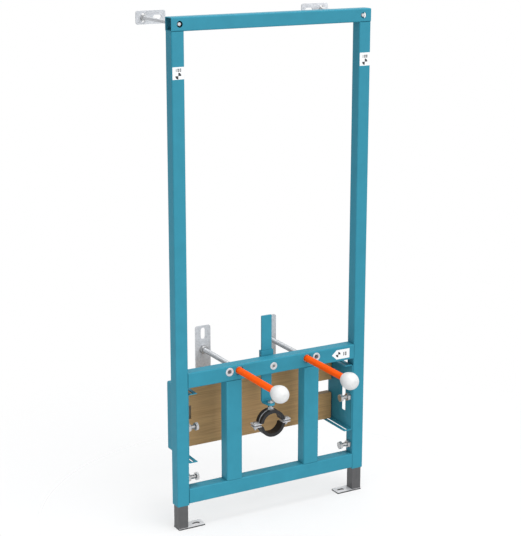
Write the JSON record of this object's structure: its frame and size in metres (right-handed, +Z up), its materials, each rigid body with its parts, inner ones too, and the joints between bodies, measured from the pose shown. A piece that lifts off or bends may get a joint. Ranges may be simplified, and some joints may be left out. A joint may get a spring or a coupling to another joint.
{
  "type": "bidet installation frame",
  "caption": "Painted steel frame for hanging a bidet from a wall, with sleeved fixing rods, wall brackets, a plywood board, telescopic feet and a sliding drain clamp.",
  "frame": {"origin": "wall plane, on the axis of the left fixing rod: rear face of the left lower wall bracket", "axes": "+X along the frame's width to the right as seen from the room, +Y into the wall, +Z up"},
  "size_m": [0.5, 0.39, 1.164],
  "materials": {
    "blue_paint": "satin powder coat",
    "plywood": "sawn and sanded",
    "leg_steel": "dull galvanised",
    "zinc_steel": "galvanised",
    "zinc_fasteners": "zinc plated",
    "orange_plastic": "matt",
    "white_plastic": "satin",
    "black_rubber": "matt"
  },
  "bodies": {
    "frame": {"top_bar": "blue_paint", "left_stile": "blue_paint", "right_stile": "blue_paint", "mid_rail": "blue_paint", "bottom_rail": "blue_paint", "left_post": "blue_paint", "right_post": "blue_paint", "left_side_bracket": "blue_paint", "right_side_bracket": "blue_paint", "mounting_board": "plywood", "rod_bushes": "zinc_steel", "outer_bushes": "zinc_steel", "centre_bush": "zinc_steel", "left_fixing_rod": "zinc_steel", "right_fixing_rod": "zinc_steel", "left_rod_sleeve": "orange_plastic", "right_rod_sleeve": "orange_plastic", "left_rod_cap": "white_plastic", "right_rod_cap": "white_plastic", "left_upper_wall_rod": "zinc_steel", "right_upper_wall_rod": "zinc_steel", "left_lower_wall_bracket": "zinc_steel", "right_lower_wall_bracket": "zinc_steel", "left_upper_wall_bracket": "zinc_steel", "right_upper_wall_bracket": "zinc_steel", "wall_rod_nuts": "zinc_steel", "top_bar_nuts": "zinc_steel", "left_lock_bolts": "zinc_fasteners", "right_lock_bolts": "zinc_fasteners", "lock_nuts": "zinc_fasteners", "drain_guide": "blue_paint", "drain_lock_screw": "zinc_fasteners"},
    "left_leg_body": {"left_leg": "leg_steel", "left_foot_plate": "zinc_steel"},
    "right_leg_body": {"right_leg": "leg_steel", "right_foot_plate": "zinc_steel"},
    "drain_slide": {"drain_bar": "blue_paint", "drain_stud": "zinc_fasteners", "clamp_upper_band": "zinc_steel", "clamp_lower_band": "zinc_steel", "clamp_upper_lining": "black_rubber", "clamp_lower_lining": "black_rubber", "clamp_screws": "zinc_fasteners"}
  },
  "joints": [
    {"name": "left_leg_slide", "type": "slide", "parent": "frame", "child": "left_leg_body", "axis": [0, 0, -1], "range_m": [-0.05, 0.145]},
    {"name": "right_leg_slide", "type": "slide", "parent": "frame", "child": "right_leg_body", "axis": [0, 0, -1], "range_m": [-0.05, 0.145]},
    {"name": "drain_bar_slide", "type": "slide", "parent": "frame", "child": "drain_slide", "axis": [0, 0, 1], "range_m": [-0.07, 0.055]}
  ]
}
